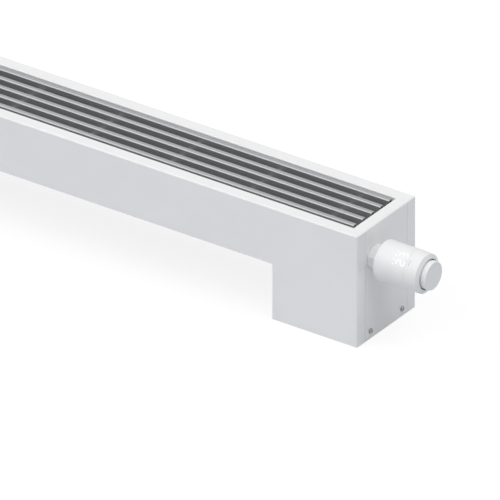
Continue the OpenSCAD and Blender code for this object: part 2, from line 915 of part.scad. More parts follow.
// Air vent in the boss of the return tail, with the hole for its bleed screw
module air_vent() {
    color(nickel) translate([xe - vent_inset, return_y, vent_low_z]) difference() {
        union() {
            bar(0, vent_l, vent_r);
            flats(vent_l * 2 / 5, vent_l * 4 / 5, 2 * vent_r + tail_wall, 6);
        }
        bar(vent_l - bleed_shank_l - gap, vent_l + over, bleed_r + fit);
    }
}

module bleed_screw() {
    color(brass) translate([xe - vent_inset, return_y, vent_low_z + vent_l]) {
        bar(-bleed_shank_l, gap + over, bleed_r);
        flats(gap, gap + bleed_head_l, bleed_head_flats, 4);
    }
}

module union_nut() {
    color(plastic) on_axis(supply_y) difference() {
        nut(nut_start, nut_l, nut_flats, 8);
        bar(nut_start - over, nut_chamber_end, head_thread_r + fit);
        bar(nut_start, nut_l + over, collar_tube_r + gap);
    }
}

// Base of the head: collar that the nut pulls on, and the plate inside the sleeve
module head_base() {
    lip_x = nut_chamber_end - gap - collar_lip_t;
    color("#3b3d40") on_axis(supply_y) difference() {
        union() {
            bar(lip_x, nut_chamber_end - gap, head_thread_r - gap);
            bar(lip_x, base_start + over, collar_tube_r);
            bar(base_start, base_end, head_r - head_wall - slip);
        }
        bar(lip_x - over, base_end + over, pusher_r + gap);
    }
}

module head_sleeve() {
    color(plastic) on_axis(supply_y) rotate_extrude() {
        difference() {
            intersection() {
                soft_square([-head_r, head_start], [head_r, sleeve_end], rear_r,
                            [true, true, false, false]);
                translate([head_open_r, head_start]) square([head_r, sleeve_l]);
            }
            translate([0, head_start + head_wall]) square([head_r - head_wall, sleeve_l]);
        }
    }
}

// Front ring: narrows to a crisp edge, chamfered from there to the recess of the knob, with a spigot
module head_front_ring() {
    inner_r = head_r - head_wall;
    chamfer_x = ring_end - chamfer_l;
    back_x = bulkhead_x - bulkhead_t;
    color(plastic) on_axis(supply_y) rotate_extrude() {
        difference() {
            polygon([[0, ring_start], [head_r, ring_start], [front_r, chamfer_x],
                     [recess_r, ring_end], [0, ring_end]]);
            translate([-over, bulkhead_x]) square([recess_r + over, recess_d + over]);
            polygon([[-over, ring_start - over], [inner_r, ring_start - over], [inner_r, ring_start],
                     [front_r - head_wall, back_x], [-over, back_x]]);
            translate([recess_r + head_wall, back_x - over])
                square([front_r - recess_r - 2 * head_wall, chamfer_x - head_wall / 2 - back_x + over]);
            translate([-over, back_x - over])
                square([shaft_r + fit + over, bulkhead_t + 2 * over]);
        }
        translate([inner_r - slip - spigot_t, ring_start - spigot_l])
            square([spigot_t, spigot_l + over]);
        translate([inner_r - slip - spigot_t, ring_start]) square([spigot_t + slip + over, over]);
    }
}

// Knob: a cap with a hub for its shaft and grip ribs round the front
module control_knob() {
    core_r = knob_d / 2 - knob_rib_r;
    color(plastic) on_axis(supply_y) {
        rotate_extrude() difference() {
            intersection() {
                soft_square([-core_r, knob_start], [core_r, knob_end], knob_edge,
                            [false, false, true, true]);
                square([core_r, knob_end]);
            }
            translate([knob_hub_r, knob_start - over])
                square([core_r - knob_wall - knob_hub_r, knob_end - knob_start - knob_wall + over]);
            translate([-over, knob_start - over])
                square([shaft_r + fit + over, knob_end - knob_start - knob_wall + over]);
        }
        for (i = [0 : knob_ribs - 1]) rotate(360 * i / knob_ribs + 180 / knob_ribs)
            translate([core_r, 0, 0])
                bar(knob_end - 2 * knob_edge - knob_rib_l, knob_end - 2 * knob_edge, knob_rib_r);
    }
}

carrier_x = bulkhead_x - bulkhead_t - gap - shaft_flange_t;

module knob_carrier() {
    color("#d8d8d6") on_axis(supply_y) {
        bar(encoder_end - encoder_l / 2, knob_end - knob_wall - gap, shaft_r);
        bar(carrier_x, carrier_x + shaft_flange_t, shaft_flange_r);
    }
}

module knob_spring() {
    color(steel) on_axis(supply_y)
        coil(encoder_end + slip, carrier_x - slip, shaft_r + 2 * spring_wire_r,
             spring_wire_r / 2, knob_spring_turns);
}

// Switch behind the knob, square, with the hole that the shaft turns and slides in
module knob_encoder() {
    half = encoder_w / 2;
    color("#4a4c50") on_axis(supply_y) difference() {
        translate([-half, -half, board_x + fit]) cube([encoder_w, encoder_w, encoder_l - fit]);
        bar(board_x - over, encoder_end + over, shaft_r + gap);
    }
}

// Turns local X towards an angle seen along the head's axis: 0 is the back, 90 the top
module at_angle(angle) {
    rotate(angle + 90) children();
}

module control_board() {
    color("#2f6b46") on_axis(supply_y) difference() {
        bar(board_x - board_t, board_x, board_r);
        for (a = cell_angles) at_angle(a) translate([cell_place_r, 0, 0])
            bar(board_x - board_t - over, board_x + over, cell_r + gap);
        bar(board_x - board_t - over, board_x + over, shaft_r + gap);
    }
}

display_x = board_x - board_t - fit - display_l;

module display_board() {
    color("#33363a") on_axis(supply_y) at_angle(display_angle) {
        translate([display_place_r, -display_w / 2, display_x])
            cube([board_t, display_w, display_l]);
        for (side = [-1, 1])
            translate([display_place_r + board_t - fit, side * display_w / 4 - display_w / 6,
                       display_x + display_l / 5])
                cube([display_block_t, display_w / 3, display_l / 2]);
    }
}

cell_x = base_end + contact_t + slip;

module batteries() {
    color("#4d6f8f") on_axis(supply_y) for (a = cell_angles) at_angle(a)
        translate([cell_place_r, 0, 0]) {
            bar(cell_x, cell_x + cell_l - cell_cap_l, cell_r);
            bar(cell_x + cell_l - cell_cap_l - over, cell_x + cell_l, cell_cap_r);
        }
}

module battery_contacts() {
    far = cell_x + cell_l + slip;
    color(steel) on_axis(supply_y) for (a = cell_angles) at_angle(a)
        translate([cell_place_r, 0, 0]) {
            translate([-contact_w / 2, -contact_w / 2, base_end])
                cube([contact_w, contact_w, contact_t]);
            translate([-contact_w / 2, -contact_w / 2, far])
                cube([contact_w, contact_w, contact_t]);
            bar(far, bulkhead_x - bulkhead_t, contact_w / 4);
        }
}

frame_x = gear_start + gear_t + gap;

// Plate that carries the motor and the drive gear, on three posts from the base
module drive_frame() {
    color("#55585c") on_axis(supply_y) difference() {
        union() {
            bar(frame_x, frame_x + frame_t, frame_r);
            for (a = post_angles) at_angle(a) translate([post_place_r, 0, 0])
                bar(base_end, frame_x + over, post_r);
        }
        for (a = cell_angles) at_angle(a) translate([cell_place_r, 0, 0])
            bar(frame_x - over, frame_x + frame_t + over, cell_r + gap);
        bar(frame_x - over, frame_x + frame_t + over, gear_hub_r + fit);
        at_angle(pinion_angle) translate([gear_centres, 0, 0])
            bar(frame_x - over, frame_x + frame_t + over, motor_shaft_r + gap);
    }
}

// Small motor with flattened sides; its shaft turns with the pinion
module drive_motor() {
    color(steel) on_axis(supply_y) at_angle(pinion_angle) translate([gear_centres, 0, 0])
        difference() {
            bar(frame_x + frame_t, frame_x + frame_t + motor_l, motor_r);
            for (side = [-1, 1])
                translate([-motor_r, side > 0 ? motor_r * 5 / 6 : -motor_r - over, frame_x])
                    cube([2 * motor_r, motor_r / 6 + over, frame_t + motor_l + over]);
            bar(frame_x, frame_x + frame_t + motor_l / 2, motor_shaft_r + fit);
        }
}

// Angle in degrees between a point of an involute and its start, at radius r
function roll(r, base_r) = let (a = acos(min(1, base_r / r))) tan(a) * 180 / PI - a;

// Outline of a gear whose first tooth points along X
module gear_outline(teeth) {
    pitch_r = gear_module * teeth / 2;
    base_r = pitch_r * cos(pressure_angle);
    tip_r = pitch_r + addendum_share * gear_module;
    root_r = pitch_r - dedendum_share * gear_module;
    half = 90 / teeth - backlash / 4 / pitch_r * 180 / PI + roll(pitch_r, base_r);
    low_r = max(base_r, root_r);
    steps = 4;
    flank = [for (i = [0 : steps]) let (r = low_r + (tip_r - low_r) * i / steps)
        [r, half - roll(r, base_r)]];
    polygon([for (k = [0 : teeth - 1], p = concat(
        [[root_r, -half]], [for (f = flank) [f[0], -f[1]]],
        [for (i = [steps : -1 : 0]) flank[i]], [[root_r, half]]))
        [p[0] * cos(p[1] + 360 * k / teeth), p[0] * sin(p[1] + 360 * k / teeth)]]);
}

module drive_gear() {
    color(plastic) on_axis(supply_y) difference() {
        union() {
            translate([0, 0, gear_start]) at_angle(pinion_angle)
                linear_extrude(height = gear_t) gear_outline(gear_teeth);
            bar(gear_start, gear_start + gear_t + gear_hub_l, gear_hub_r);
        }
        bar(gear_start - over, gear_start + gear_t + gear_hub_l + over, screw_shank_r + fit);
    }
}

module drive_pinion() {
    color(brass) on_axis(supply_y) at_angle(pinion_angle) translate([gear_centres, 0, 0]) {
        translate([0, 0, gear_start]) rotate(180 + 180 / pinion_teeth)
            linear_extrude(height = gear_t) gear_outline(pinion_teeth);
        bar(gear_start + over, frame_x + frame_t + motor_l / 3, motor_shaft_r);
    }
}

// Pusher with the shank that the drive gear moves along
module pusher() {
    color("#8d9094") on_axis(supply_y) {
        bar(stem_tip + gap, gear_start - gap, pusher_r);
        bar(gear_start - gap - over, gear_start + gear_t + gear_hub_l, screw_shank_r);
    }
}

casing_front_panel();
casing_back_panel();
end_panel_right();
end_panel_left();
floor_bracket_right();
floor_bracket_left();
end_panel_screws();
grille_bars();
grille_cross_rods();
grille_spacers();
grille_pads();
cross_stays();
tube_grommets();
fin_pack();
copper_tube_supply();
copper_tube_return();
return_bend();
supply_tail();
supply_tail_nut();
return_tail();
return_tail_nut();
tail_gaskets();
supply_valve_body();
valve_insert();
valve_stem();
valve_disc();
valve_spring();
stem_seal();
return_valve_body();
lockshield_bonnet();
lockshield_spindle();
lockshield_cap();
air_vent();
bleed_screw();
union_nut();
head_base();
head_sleeve();
head_front_ring();
control_knob();
knob_carrier();
knob_spring();
knob_encoder();
control_board();
display_board();
batteries();
battery_contacts();
drive_frame();
drive_motor();
drive_pinion();
drive_gear();
pusher();
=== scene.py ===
# %% [markdown]
# # Floor convector
# A long, low heater that stands on two end boxes. Water runs through copper tubes with fins under
# the grille, and a thermostatic head on the right-hand end sets how much of it flows. The packed
# CAD model is the frame: it holds every piece at its real size and place, in metres. This script
# gives each piece its finish, and makes the pieces that the eye meets first anew, with finer edges.
# Small sizes are written in millimetres, and MM turns them into metres.

# %% Load the frame
import math

import bmesh
import bpy
from mathutils import Matrix, Vector


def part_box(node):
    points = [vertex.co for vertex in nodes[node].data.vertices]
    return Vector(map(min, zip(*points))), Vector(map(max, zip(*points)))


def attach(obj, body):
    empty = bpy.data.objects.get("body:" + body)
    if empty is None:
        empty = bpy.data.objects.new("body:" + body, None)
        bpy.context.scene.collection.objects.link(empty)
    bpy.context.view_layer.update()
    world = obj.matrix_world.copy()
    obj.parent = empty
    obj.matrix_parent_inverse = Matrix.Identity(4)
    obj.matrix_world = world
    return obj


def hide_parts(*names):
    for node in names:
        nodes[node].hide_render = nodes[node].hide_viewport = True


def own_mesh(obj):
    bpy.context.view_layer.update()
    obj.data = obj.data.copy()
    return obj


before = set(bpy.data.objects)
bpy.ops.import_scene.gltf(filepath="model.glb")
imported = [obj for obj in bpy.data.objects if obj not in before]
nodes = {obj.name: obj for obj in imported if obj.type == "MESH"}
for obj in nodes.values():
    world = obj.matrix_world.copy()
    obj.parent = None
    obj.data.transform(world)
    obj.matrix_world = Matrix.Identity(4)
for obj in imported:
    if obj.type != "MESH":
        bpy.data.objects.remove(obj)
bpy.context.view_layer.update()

MM = 0.001

# %% [markdown]
# ## Camera
# The photograph looks down on the right-hand end from far away, so its long edges stay almost
# parallel. A very long lens from 26 m gives the same view. MIDDLE is a point on the line of sight
# through the middle of the picture, 12 cm in front of the casing. The picture is 629 mm wide there.
# The lens and the sensor are in millimetres, and all other lengths here are in metres.

# %% Camera
AZIMUTH, ELEVATION = math.radians(34.93), math.radians(29.21)
MIDDLE = Vector((0.39408, -0.14877, 0.14607))
VIEW_WIDTH = 0.6288
LENS, SENSOR, FAR_CLIP = 1500, 36, 200

back = Vector((math.sin(AZIMUTH) * math.cos(ELEVATION),
               -math.cos(AZIMUTH) * math.cos(ELEVATION), math.sin(ELEVATION)))
camera = bpy.data.objects.new("camera", bpy.data.cameras.new("camera"))
bpy.context.scene.collection.objects.link(camera)
camera.data.lens, camera.data.sensor_width, camera.data.clip_end = LENS, SENSOR, FAR_CLIP
camera.location = MIDDLE + back * VIEW_WIDTH * LENS / SENSOR
camera.rotation_euler = back.to_track_quat("Z", "Y").to_euler()
bpy.context.scene.camera = camera
bpy.context.scene.view_settings.view_transform = "Standard"
print("camera at", [round(v, 2) for v in camera.location])

# %% [markdown]
# ## Colours and nodes
# A colour is written as on screen, as a hex value, and Blender wants it linear. `add` puts one
# node in a tree with its settings and links.

# %% Colours and nodes
def linear(hex_colour):
    """Linear red, green, blue and alpha of a screen colour, by the sRGB curve."""
    parts = [int(hex_colour[i:i + 2], 16) / 255 for i in (0, 2, 4)]
    return tuple(c / 12.92 if c <= 0.04045 else ((c + 0.055) / 1.055) ** 2.4 for c in parts) + (1.0,)


def add(tree, kind, inputs=None, **settings):
    """One node: settings are its properties, inputs its sockets by name or number."""
    made = tree.nodes.new(kind)
    for name, value in settings.items():
        setattr(made, name, value)
    for key, value in (inputs or {}).items():
        if isinstance(value, bpy.types.NodeSocket):
            tree.links.new(value, made.inputs[key])
        else:
            made.inputs[key].default_value = value
    return made


def emptied_tree(owner):
    """The node tree of a material or a world, with nothing in it."""
    owner.use_nodes = True
    owner.node_tree.nodes.clear()
    return owner.node_tree


# %% [markdown]
# ## Starting a finish
# `finish` makes a material and sets what is the same all over its surface on the shader itself.
# FINISHES keeps each material under the name of the record's slot that it is for.

# %% Starting a finish
FINISHES = {}


def finish(name, hex_colour, **sockets):
    """A new material with one shader, whose uniform values are set on its own sockets."""
    material = bpy.data.materials.new(name)
    tree = emptied_tree(material)
    values = {"Base Color": linear(hex_colour)}
    values.update({key.replace("_", " "): value for key, value in sockets.items()})
    shader = add(tree, "ShaderNodeBsdfPrincipled", values)
    add(tree, "ShaderNodeOutputMaterial", {"Surface": shader.outputs[0]})
    material.diffuse_color = linear(hex_colour)
    print("finish:", name, hex_colour)
    return material, tree, shader


# %% [markdown]
# ## Patterns
# No real surface is quite even. `grain` is the pattern nearly every finish needs: a noise whose
# grains have a real size in millimetres, drawn out along one axis where the surface was rolled,
# drawn or brushed. It reads Object coordinates, the metres of the piece itself, so it stays on its
# piece when that moves.

# %% Patterns
def in_steps(tree, size_mm, stretch=(1, 1, 1)):
    """The place on the object, counted in steps of size_mm times stretch along X, Y and Z."""
    place = add(tree, "ShaderNodeTexCoord")
    scale = [1 / (size_mm * MM * s) for s in stretch]
    mapped = add(tree, "ShaderNodeMapping", {"Vector": place.outputs["Object"], "Scale": scale})
    return mapped.outputs[0]


def grain(tree, size_mm, stretch=(1, 1, 1), detail=3.0, gain=0.55):
    """Noise with grains of size_mm; gain is how strong each finer layer is beside the one before."""
    noise = add(tree, "ShaderNodeTexNoise", {"Vector": in_steps(tree, size_mm, stretch), "Scale": 1.0,
                                             "Detail": detail, "Roughness": gain})
    return noise.outputs["Fac"]


# %% [markdown]
# ## What a pattern steers
# `tinted`, `roughened` and `raised` let a pattern steer the colour, the roughness and the bumps.
# Noise seldom comes near 0 or 1, so what counts is its middle part, from 0.3 to 0.7.

# %% What a pattern steers
def between(tree, pattern, low, high, start=0.3, end=0.7):
    """A number from low, where the pattern is start, to high, where it is end."""
    return add(tree, "ShaderNodeMapRange", {"Value": pattern, "From Min": start, "From Max": end,
                                            "To Min": low, "To Max": high}).outputs[0]


def tinted(tree, shader, pattern, *hex_colours, start=0.3, end=0.7):
    """Colours the surface along a pattern."""
    ramp = add(tree, "ShaderNodeValToRGB", {"Fac": pattern})
    points = ramp.color_ramp.elements
    # A new ramp has two points, at 0 and 1, so a further one starts between them.
    while len(points) < len(hex_colours):
        points.new(0.5)
    for i, hex_colour in enumerate(hex_colours):
        points[i].position = start + (end - start) * i / (len(hex_colours) - 1)
        points[i].color = linear(hex_colour)
    tree.links.new(ramp.outputs["Color"], shader.inputs["Base Color"])


def roughened(tree, shader, pattern, low, high):
    """Lets the roughness go from low to high along a pattern."""
    tree.links.new(between(tree, pattern, low, high), shader.inputs["Roughness"])


def raised(tree, shader, pattern, height_mm, strength=1.0):
    """Bumps the surface by a pattern; height_mm is the difference between its low and high."""
    bump = add(tree, "ShaderNodeBump",
               {"Height": pattern, "Distance": height_mm * MM, "Strength": strength})
    tree.links.new(bump.outputs[0], shader.inputs["Normal"])


# %% [markdown]
# ## White powder coat
# The casing is steel sheet with a polyester powder that is sprayed on dry and melts in an oven. It
# flows into an even, glossy skin: the end panel mirrors the nut beside it, a little blurred. A
# slow pattern of some centimetres lets the white vary a very little, as the skin's thickness does.
# From this far off nothing finer than that can be seen on the real coat, so nothing finer is drawn.

# %% White powder coat
SKIN_WAVE = 45.0
coat, tree, shader = finish("white_powder_coat", "eeeeee", Roughness=0.12, IOR=1.5)
tinted(tree, shader, grain(tree, SKIN_WAVE, detail=1.0), "ededed", "efefef")
FINISHES["white_powder_coat"] = coat

# %% [markdown]
# ## Anodised aluminium
# The bars are extruded, brushed along their length and anodised. Brushing leaves fine lines that
# run along X, so the grain is drawn out that way, over a hundred times. Real brush lines are some
# hundredths of a millimetre apart. They are drawn 0.5 mm apart here, so that they just show. An
# etch dulls the surface, and the clear layer that anodising grows over it scatters about half of
# the light. So the bars are only half metallic, and less like a mirror than bare metal is.

# %% Anodised aluminium
BRUSH_LINE, BRUSH_STRETCH = 0.5, (120, 1, 1)
bars_finish, tree, shader = finish("brushed_anodised_aluminium", "a3a4a6", Metallic=0.5)
lines = grain(tree, BRUSH_LINE, BRUSH_STRETCH, detail=2.0)
tinted(tree, shader, lines, "a0a1a3", "a6a7a9")
roughened(tree, shader, lines, 0.32, 0.4)
FINISHES["anodised_bars"] = bars_finish

# %% [markdown]
# ## Rolled aluminium
# The fins are plain rolled sheet: paler than the bars, with broader lines that run down the fin,
# and a little dulled in clouds by the oil they are pressed with.

# %% Rolled aluminium
OIL_CLOUD, ROLL_LINE, ROLL_STRETCH = 14.0, 0.8, (1, 1, 40)
fin_finish, tree, shader = finish("rolled_aluminium_sheet", "c4c6c8", Metallic=1.0)
tinted(tree, shader, grain(tree, OIL_CLOUD), "b9bbbd", "cccecf")
roughened(tree, shader, grain(tree, ROLL_LINE, ROLL_STRETCH), 0.3, 0.45)
raised(tree, shader, grain(tree, ROLL_LINE, ROLL_STRETCH, detail=2.0), height_mm=0.006, strength=0.5)
FINISHES["fin_aluminium"] = fin_finish

# %% [markdown]
# ## Zinc-plated steel
# Screws, stays, rods and springs are steel under a thin, bright plate of zinc. The clear film that
# guards the zinc has a trace of blue and of straw yellow, which drifts over a few millimetres. The
# plate's crystals give it a fine bump.

# %% Zinc-plated steel
FILM_DRIFT, ZINC_CLOUD, ZINC_CRYSTAL = 5.0, 1.5, 0.6
zinc, tree, shader = finish("zinc_plated_steel", "8f9296", Metallic=1.0)
tinted(tree, shader, grain(tree, FILM_DRIFT), "84888e", "94979a", "9c9a93")
roughened(tree, shader, grain(tree, ZINC_CLOUD), 0.24, 0.4)
raised(tree, shader, grain(tree, ZINC_CRYSTAL), height_mm=0.004, strength=0.4)
FINISHES["zinc_steel"] = zinc

# %% [markdown]
# ## Copper
# The tubes are drawn copper: bright when new, then browned in cloudy patches where hands and heat
# have been. Drawing leaves lines along them, which change how sharply they shine.

# %% Copper
BROWN_PATCH, DRAW_LINE, DRAW_STRETCH = 16.0, 0.7, (60, 1, 1)
copper, tree, shader = finish("drawn_copper", "c07a50", Metallic=1.0)
tinted(tree, shader, grain(tree, BROWN_PATCH, detail=5.0), "8c5337", "b9744c", "cd8a60")
roughened(tree, shader, grain(tree, DRAW_LINE, DRAW_STRETCH), 0.24, 0.42)
FINISHES["drawn_copper"] = copper

# %% [markdown]
# ## Brass and nickel
# Nuts, tails and spindles are turned from brass bar, and the tool leaves fine rings round their
# axis: the grain is short along X and drawn out across it. The valve bodies are hot-pressed brass,
# shot-blasted and nickel-plated, which gives a warm grey with a soft pebble under the plate.

# %% Brass and nickel
BRASS_CLOUD, TOOL_RING, RING_STRETCH = 7.0, 0.5, (1, 60, 60)
brass, tree, shader = finish("turned_brass", "cdb06a", Metallic=1.0)
rings = grain(tree, TOOL_RING, RING_STRETCH, detail=2.0)
tinted(tree, shader, grain(tree, BRASS_CLOUD), "bd9d58", "d2b674")
roughened(tree, shader, rings, 0.2, 0.34)
raised(tree, shader, rings, height_mm=0.008, strength=0.6)
FINISHES["machined_brass"] = brass

NICKEL_CLOUD, NICKEL_SPECK, PEBBLE = 9.0, 1.1, 0.9
nickel, tree, shader = finish("nickel_plated_brass", "c6c2b8", Metallic=1.0)
tinted(tree, shader, grain(tree, NICKEL_CLOUD), "b8b4a9", "cfccc4")
roughened(tree, shader, grain(tree, NICKEL_SPECK), 0.26, 0.4)
raised(tree, shader, grain(tree, PEBBLE), height_mm=0.02, strength=0.5)
FINISHES["nickel_plated_brass"] = nickel

# %% [markdown]
# ## Rubber and fibre
# Pads, grommets and seals are EPDM, a matt black rubber with a fine moulded grain and a breath of
# grey bloom. The flat gaskets are pressed fibre: brown-red sheet with short strands in it.

# %% Rubber and fibre
BLOOM, RUBBER_SPECK, RUBBER_GRAIN = 4.0, 1.0, 0.35
rubber, tree, shader = finish("epdm_rubber", "29292a", Specular_IOR_Level=0.35)
tinted(tree, shader, grain(tree, BLOOM), "232324", "323233")
roughened(tree, shader, grain(tree, RUBBER_SPECK), 0.6, 0.8)
raised(tree, shader, grain(tree, RUBBER_GRAIN), height_mm=0.02, strength=0.6)
FINISHES["epdm_rubber"] = rubber

STRAND, STRAND_STRETCH = 0.6, (1, 5, 1)
gasket, tree, shader = finish("pressed_fibre", "6f4334", Roughness=0.8)
tinted(tree, shader, grain(tree, STRAND, STRAND_STRETCH), "5d3427", "845443")
raised(tree, shader, grain(tree, STRAND, STRAND_STRETCH), height_mm=0.03, strength=0.6)
FINISHES["fibre_gasket"] = gasket

# %% [markdown]
# ## Plastics
# The head is moulded from white ABS with a satin face. Sparks have eaten fine pits into the steel
# of the mould, and they show on the shell as bumps a third of a millimetre across. The pieces
# inside it are grey: frames of glass-filled nylon and gears of acetal, which share one finish. The
# melt's flow leaves faint streaks in them.

# %% Plastics
SHELL_CLOUD, SHELL_SPECK, MOULD_PIT = 20.0, 1.2, 0.35
shell, tree, shader = finish("moulded_white_abs", "ececec", IOR=1.5)
tinted(tree, shader, grain(tree, SHELL_CLOUD, detail=1.0), "ebebeb", "ededed")
roughened(tree, shader, grain(tree, SHELL_SPECK), 0.46, 0.54)
raised(tree, shader, grain(tree, MOULD_PIT, detail=1.0), height_mm=0.006, strength=0.5)
FINISHES["white_shell_plastic"] = shell

FLOW_STREAK, STREAK_STRETCH, GREY_SPECK, GREY_GRAIN = 3.0, (6, 1, 1), 0.8, 0.5
grey_plastic, tree, shader = finish("glass_filled_nylon", "55585c")
tinted(tree, shader, grain(tree, FLOW_STREAK, STREAK_STRETCH), "4a4d51", "63666a")
roughened(tree, shader, grain(tree, GREY_SPECK), 0.45, 0.62)
raised(tree, shader, grain(tree, GREY_GRAIN), height_mm=0.01, strength=0.5)
FINISHES["grey_inner_plastic"] = grey_plastic

# %% [markdown]
# ## Circuit board and cells
# Copper tracks show through green lacquer as a web of paler bands. The borders between Voronoi
# cells make such a web. The distance to a border also gives the bump, so the lacquered fields
# between the bands swell a little. The jacket of a battery cell is film, glossy and blue here,
# with a silver band at one end and nothing printed on it.

# %% Circuit board and cells
FIELD_SIZE, BAND_EDGE, BAND_FADE = 2.2, 0.06, 0.12
board, tree, shader = finish("lacquered_circuit_board", "1f5a3c", Roughness=0.3)
web = add(tree, "ShaderNodeTexVoronoi", {"Vector": in_steps(tree, FIELD_SIZE), "Scale": 1.0},
          feature="DISTANCE_TO_EDGE").outputs["Distance"]
tinted(tree, shader, web, "3f8f63", "1c5537", start=BAND_EDGE, end=BAND_FADE)
raised(tree, shader, web, height_mm=0.03, strength=0.5)
FINISHES["circuit_laminate"] = board

SILVER_BAND, FILM_SPECK = 6.0, 2.0
jacket, tree, shader = finish("printed_cell_jacket", "3f648c", Roughness=0.25)
place = add(tree, "ShaderNodeTexCoord")
along = add(tree, "ShaderNodeSeparateXYZ", {"Vector": place.outputs["Object"]})
band_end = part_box("batteries")[0].x + SILVER_BAND * MM
band = add(tree, "ShaderNodeMath", {0: along.outputs["X"], 1: band_end}, operation="LESS_THAN")
tinted(tree, shader, band.outputs[0], "3f648c", "b7babd", start=0.4, end=0.6)
roughened(tree, shader, grain(tree, FILM_SPECK), 0.2, 0.32)
FINISHES["cell_jacket"] = jacket

# %% [markdown]
# ## Dressing the CAD pieces
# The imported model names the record's slot that each node takes its finish from, so one loop gives
# every node the material that was made for its slot.

# %% Dressing the CAD pieces
for piece in nodes.values():
    slot = piece.data.materials[0].name
    piece.data.materials[0] = FINISHES[slot]
print("dressed", len(nodes), "CAD nodes with", len(FINISHES), "finishes")

# %% [markdown]
# ## Rounding an outline
# No edge of a moulded or machined piece is quite sharp, and the light that runs along a rounded
# edge tells the eye how big the piece is. `soften` puts a short arc in place of each corner of an
# outline. A further point beside each end of the arc keeps the long face next to it flat in the
# shading.

# %% Rounding an outline
def soften(corners, steps=5, closed=True, hold=0.1):
    """Outline through corners (x, r, radius of the arc); hold is the further points' distance."""
    made = []
    for i, (x, r, radius) in enumerate(corners):
        here = Vector((x, r))
        if not radius or (not closed and i in (0, len(corners) - 1)):
            made.append(here)
            continue
        one, two = [(Vector(corners[j][:2]) - here).normalized()
                    for j in (i - 1, (i + 1) % len(corners))]
        half = one.angle(two) / 2
        centre = here + (one + two).normalized() * radius / math.sin(half)
        start, end = [here + way * radius / math.tan(half) - centre for way in (one, two)]
        bend = [centre + start.slerp(end, k / steps) * radius for k in range(steps + 1)]
        made += [bend[0] + one * hold, *bend, bend[-1] + two * hold] if hold else bend
    return made


# %% [markdown]
# ## Turning an outline
# Most of what shows on the head was turned or moulded round one axis, so its shape is an outline
# carried round X: each point gives a ring, and `bridge` joins each ring to the next. A point may
# also be held inside flats. The nut and the screws' sockets are round pieces with their far
# corners cut off, so the radius there is the smaller of the two. A ring on the axis has all its
# points in one spot, and they are merged.

# %% Turning an outline
MERGE_GAP = 1e-7


def bridge(mesh, one, two):
    """Joins two rings that have the same number of points with quads."""
    for k in range(len(one)):
        j = (k + 1) % len(one)
        mesh.faces.new((one[k], one[j], two[j], two[k]))


def turned(outline, segments, flats=0.0, sides=6, faceted=()):
    """Closed outline (x, r) in mm, carried round X; points in faceted stay inside the flats."""
    mesh = bmesh.new()
    rings = []
    for i, (x, r) in enumerate(outline):
        ring = []
        for k in range(segments):
            angle = 2 * math.pi * k / segments
            reach = r
            if i in faceted:
                off = (angle + math.pi / sides) % (2 * math.pi / sides) - math.pi / sides
                reach = min(r, flats / 2 / math.cos(off))
            ring.append(mesh.verts.new((x * MM, reach * math.cos(angle) * MM,
                                        reach * math.sin(angle) * MM)))
        rings.append(ring)
    for ring, following in zip(rings, rings[1:] + rings[:1]):
        bridge(mesh, ring, following)
    bmesh.ops.remove_doubles(mesh, verts=mesh.verts, dist=MERGE_GAP)
    bmesh.ops.recalc_face_normals(mesh, faces=mesh.faces)
    return mesh


# %% [markdown]
# ## From a mesh to a piece
# `piece_of` makes an object of a mesh. The mesh itself is moved to its place and the object stays at
# the origin, as the CAD's objects do. `done` puts each finished piece on the body it rides on and
# hides the CAD nodes that it stands for.

# %% From a mesh to a piece
def piece_of(mesh, name, material, at=(0, 0, 0), crease=35):
    """Object from a bmesh, moved to its place, smooth except where it turns by over crease degrees."""
    bmesh.ops.translate(mesh, verts=mesh.verts, vec=Vector(at))
    data = bpy.data.meshes.new(name)
    mesh.to_mesh(data)
    mesh.free()
    data.materials.append(material)
    data.polygons.foreach_set("use_smooth", [True] * len(data.polygons))
    data.set_sharp_from_angle(angle=math.radians(crease))
    made = bpy.data.objects.new(name, data)
    bpy.context.scene.collection.objects.link(made)
    return made


def done(piece, body, slot, *replaced):
    """Puts a finished piece on the body it rides on and hides the CAD nodes it stands for; slot is not
    used.
    """
    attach(piece, body)
    if replaced:
        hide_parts(*replaced)
    print(f"{piece.name}: {len(piece.data.polygons)} faces on {body}")


# %% [markdown]
# ## One tree that repeats a piece
# Bars, screws and ribs are one shape set down many times at a fixed step, or turned by a fixed
# angle round X. A Geometry Nodes tree does both: it makes a line of points, puts the piece on each
# and turns it by the angle times its number. The result is realised, because only real faces
# reach the exported model.

# %% One tree that repeats a piece
repeat_tree = bpy.data.node_groups.new("repeat_piece", "GeometryNodeTree")
for title, kind in (("Piece", "Geometry"), ("Count", "Int"), ("Start", "Vector"),
                    ("Step", "Vector"), ("Turn", "Float"), ("Finish", "Material")):
    repeat_tree.interface.new_socket(title, in_out="INPUT", socket_type="NodeSocket" + kind)
repeat_tree.interface.new_socket("Pieces", in_out="OUTPUT", socket_type="NodeSocketGeometry")
given = add(repeat_tree, "NodeGroupInput").outputs
line = add(repeat_tree, "GeometryNodeMeshLine",
           {"Count": given["Count"], "Start Location": given["Start"], "Offset": given["Step"]})
number = add(repeat_tree, "GeometryNodeInputIndex")
angle = add(repeat_tree, "ShaderNodeMath", {0: number.outputs[0], 1: given["Turn"]},
            operation="MULTIPLY")
spin = add(repeat_tree, "ShaderNodeCombineXYZ", {"X": angle.outputs[0]})
placed = add(repeat_tree, "GeometryNodeInstanceOnPoints",
             {"Points": line.outputs[0], "Instance": given["Piece"], "Rotation": spin.outputs[0]})
real = add(repeat_tree, "GeometryNodeRealizeInstances", {0: placed.outputs[0]})
coloured = add(repeat_tree, "GeometryNodeSetMaterial",
               {"Geometry": real.outputs[0], "Material": given["Finish"]})
add(repeat_tree, "NodeGroupOutput", {0: coloured.outputs[0]})
print("repeat_piece:", len(repeat_tree.nodes), "nodes")

